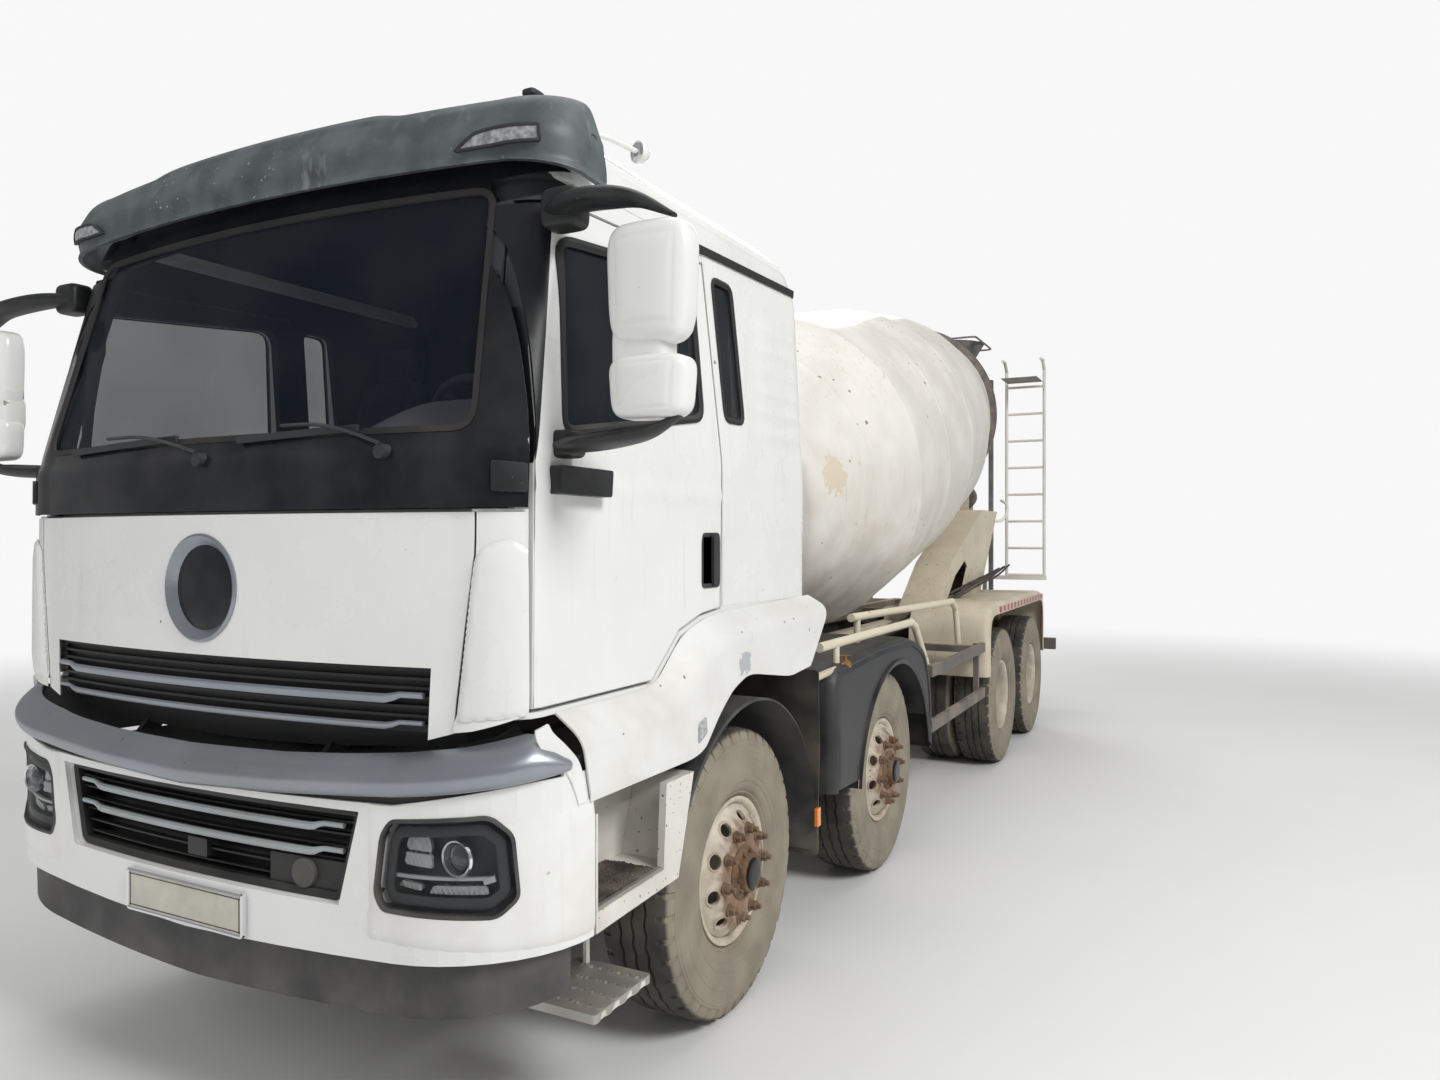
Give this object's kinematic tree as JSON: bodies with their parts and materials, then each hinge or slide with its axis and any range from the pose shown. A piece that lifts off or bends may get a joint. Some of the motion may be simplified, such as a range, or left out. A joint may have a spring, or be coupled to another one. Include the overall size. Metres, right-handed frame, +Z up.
{
  "type": "concrete mixer truck",
  "caption": "Rigid concrete mixer truck with twin steered front axles, driven rear bogie, tilting cab, hollow tilted turning drum, hopper and swinging discharge chute.",
  "frame": {"origin": "middle of the footprint on the ground", "axes": "-Y is the front, +X the truck's left side, +Z up"},
  "size_m": [3.2, 9.4, 3.9007],
  "materials": {
    "chassis_black": "matt, dusty",
    "white_paint": "gloss, slightly dirty",
    "silver_trim": "satin",
    "black_plastic": "weathered",
    "gloss_black": "gloss",
    "lamp_glass": "clear over reflectors",
    "cream_paint": "gloss worn to satin",
    "bare_steel": "worn and rusty",
    "tank_steel": "satin, dusty",
    "dirty_steel": "cement dust",
    "window_glass": "tinted",
    "interior": "matt",
    "tyre": "worn, dusty",
    "rim_paint": "rusty at the hub"
  },
  "bodies": {
    "chassis": {"chassis_frame": "chassis_black", "front_bumper": "white_paint", "bumper_blade": "silver_trim", "lower_grille": "black_plastic", "lamps": "lamp_glass", "cab_steps": "white_paint", "axles": "chassis_black", "leaf_springs": "chassis_black", "engine_block": "chassis_black", "drum_frame": "cream_paint", "drum_gearbox": "chassis_black", "support_rollers": "bare_steel", "mid_mudguards": "black_plastic", "rear_wings": "cream_paint", "side_guards": "cream_paint", "tanks": "tank_steel", "hopper": "dirty_steel", "discharge_trough": "cream_paint", "ladder": "white_paint", "rear_guard": "chassis_black"},
    "cab": {"cab_shell": "white_paint", "screen_frame": "gloss_black", "cab_glass": "window_glass", "sun_visor": "black_plastic", "cab_interior": "interior", "cab_fenders": "white_paint"},
    "door_left": {"door_left": "white_paint", "door_glass_left": "window_glass", "mirror_left": "white_paint"},
    "door_right": {"door_right": "white_paint", "door_glass_right": "window_glass", "mirror_right": "white_paint"},
    "front_flap": {"front_flap": "white_paint", "upper_grille": "black_plastic"},
    "drum": {"drum_shell": "white_paint", "drum_ring": "bare_steel", "drum_blades": "bare_steel"},
    "chute_pivot": {"chute_pivot": "dirty_steel"},
    "chute": {"chute": "cream_paint"},
    "knuckle_1_left": {"knuckle_1_left": "chassis_black"},
    "knuckle_1_right": {"knuckle_1_right": "chassis_black"},
    "knuckle_2_left": {"knuckle_2_left": "chassis_black"},
    "knuckle_2_right": {"knuckle_2_right": "chassis_black"},
    "wheel_1_left": {"tyre_1_left": "tyre", "rim_1_left": "rim_paint"},
    "wheel_1_right": {"tyre_1_right": "tyre", "rim_1_right": "rim_paint"},
    "wheel_2_left": {"tyre_2_left": "tyre", "rim_2_left": "rim_paint"},
    "wheel_2_right": {"tyre_2_right": "tyre", "rim_2_right": "rim_paint"},
    "wheel_3_left": {"tyre_3_left": "tyre", "rim_3_left": "rim_paint"},
    "wheel_3_right": {"tyre_3_right": "tyre", "rim_3_right": "rim_paint"},
    "wheel_4_left": {"tyre_4_left": "tyre", "rim_4_left": "rim_paint"},
    "wheel_4_right": {"tyre_4_right": "tyre", "rim_4_right": "rim_paint"}
  },
  "joints": [
    {"name": "cab_tilt", "type": "hinge", "parent": "chassis", "child": "cab", "pos_m": [0, -4.59, 1.1], "axis": [1, 0, 0], "range_deg": [0, 50]},
    {"name": "door_left_hinge", "type": "hinge", "parent": "cab", "child": "door_left", "pos_m": [1.134, -4.448, 2], "axis": [0, 0, -1], "range_deg": [0, 70]},
    {"name": "door_right_hinge", "type": "hinge", "parent": "cab", "child": "door_right", "pos_m": [-1.134, -4.448, 2], "axis": [0, 0, 1], "range_deg": [0, 70]},
    {"name": "front_flap_hinge", "type": "hinge", "parent": "cab", "child": "front_flap", "pos_m": [0, -4.64, 1.899], "axis": [-1, 0, 0], "range_deg": [0, 70]},
    {"name": "drum_spin", "type": "hinge", "parent": "chassis", "child": "drum", "pos_m": [0, -1.6, 1.96], "axis": [0, 0.9744, 0.225], "continuous": true},
    {"name": "chute_swivel", "type": "hinge", "parent": "chassis", "child": "chute_pivot", "pos_m": [0, 4.31, 1.6], "axis": [0, 0, -1], "range_deg": [0, 180]},
    {"name": "chute_tilt", "type": "hinge", "parent": "chute_pivot", "child": "chute", "pos_m": [0, 4.31, 1.785], "axis": [0, -1, 0], "range_deg": [-5, 25]},
    {"name": "steer_1_left", "type": "hinge", "parent": "chassis", "child": "knuckle_1_left", "pos_m": [0.88, -3.225, 0.5425], "axis": [0, 0, 1], "range_deg": [-35, 35]},
    {"name": "steer_1_right", "type": "hinge", "parent": "chassis", "child": "knuckle_1_right", "pos_m": [-0.88, -3.225, 0.5425], "axis": [0, 0, 1], "range_deg": [-35, 35]},
    {"name": "steer_2_left", "type": "hinge", "parent": "chassis", "child": "knuckle_2_left", "pos_m": [0.88, -1.375, 0.5425], "axis": [0, 0, 1], "range_deg": [-23, 23]},
    {"name": "steer_2_right", "type": "hinge", "parent": "chassis", "child": "knuckle_2_right", "pos_m": [-0.88, -1.375, 0.5425], "axis": [0, 0, 1], "range_deg": [-23, 23]},
    {"name": "wheel_1_left_spin", "type": "hinge", "parent": "knuckle_1_left", "child": "wheel_1_left", "pos_m": [1.018, -3.225, 0.5425], "axis": [1, 0, 0], "continuous": true},
    {"name": "wheel_1_right_spin", "type": "hinge", "parent": "knuckle_1_right", "child": "wheel_1_right", "pos_m": [-1.018, -3.225, 0.5425], "axis": [1, 0, 0], "continuous": true},
    {"name": "wheel_2_left_spin", "type": "hinge", "parent": "knuckle_2_left", "child": "wheel_2_left", "pos_m": [1.018, -1.375, 0.5425], "axis": [1, 0, 0], "continuous": true},
    {"name": "wheel_2_right_spin", "type": "hinge", "parent": "knuckle_2_right", "child": "wheel_2_right", "pos_m": [-1.018, -1.375, 0.5425], "axis": [1, 0, 0], "continuous": true},
    {"name": "wheel_3_left_spin", "type": "hinge", "parent": "chassis", "child": "wheel_3_left", "pos_m": [0.93, 1.575, 0.5425], "axis": [1, 0, 0], "continuous": true},
    {"name": "wheel_3_right_spin", "type": "hinge", "parent": "chassis", "child": "wheel_3_right", "pos_m": [-0.93, 1.575, 0.5425], "axis": [1, 0, 0], "continuous": true},
    {"name": "wheel_4_left_spin", "type": "hinge", "parent": "chassis", "child": "wheel_4_left", "pos_m": [0.93, 2.925, 0.5425], "axis": [1, 0, 0], "continuous": true},
    {"name": "wheel_4_right_spin", "type": "hinge", "parent": "chassis", "child": "wheel_4_right", "pos_m": [-0.93, 2.925, 0.5425], "axis": [1, 0, 0], "continuous": true}
  ],
  "couplings": [
    {"joint": "steer_1_right", "follows": "steer_1_left", "ratio": 1},
    {"joint": "steer_2_left", "follows": "steer_1_left", "ratio": 0.65714},
    {"joint": "steer_2_right", "follows": "steer_1_left", "ratio": 0.65714}
  ]
}
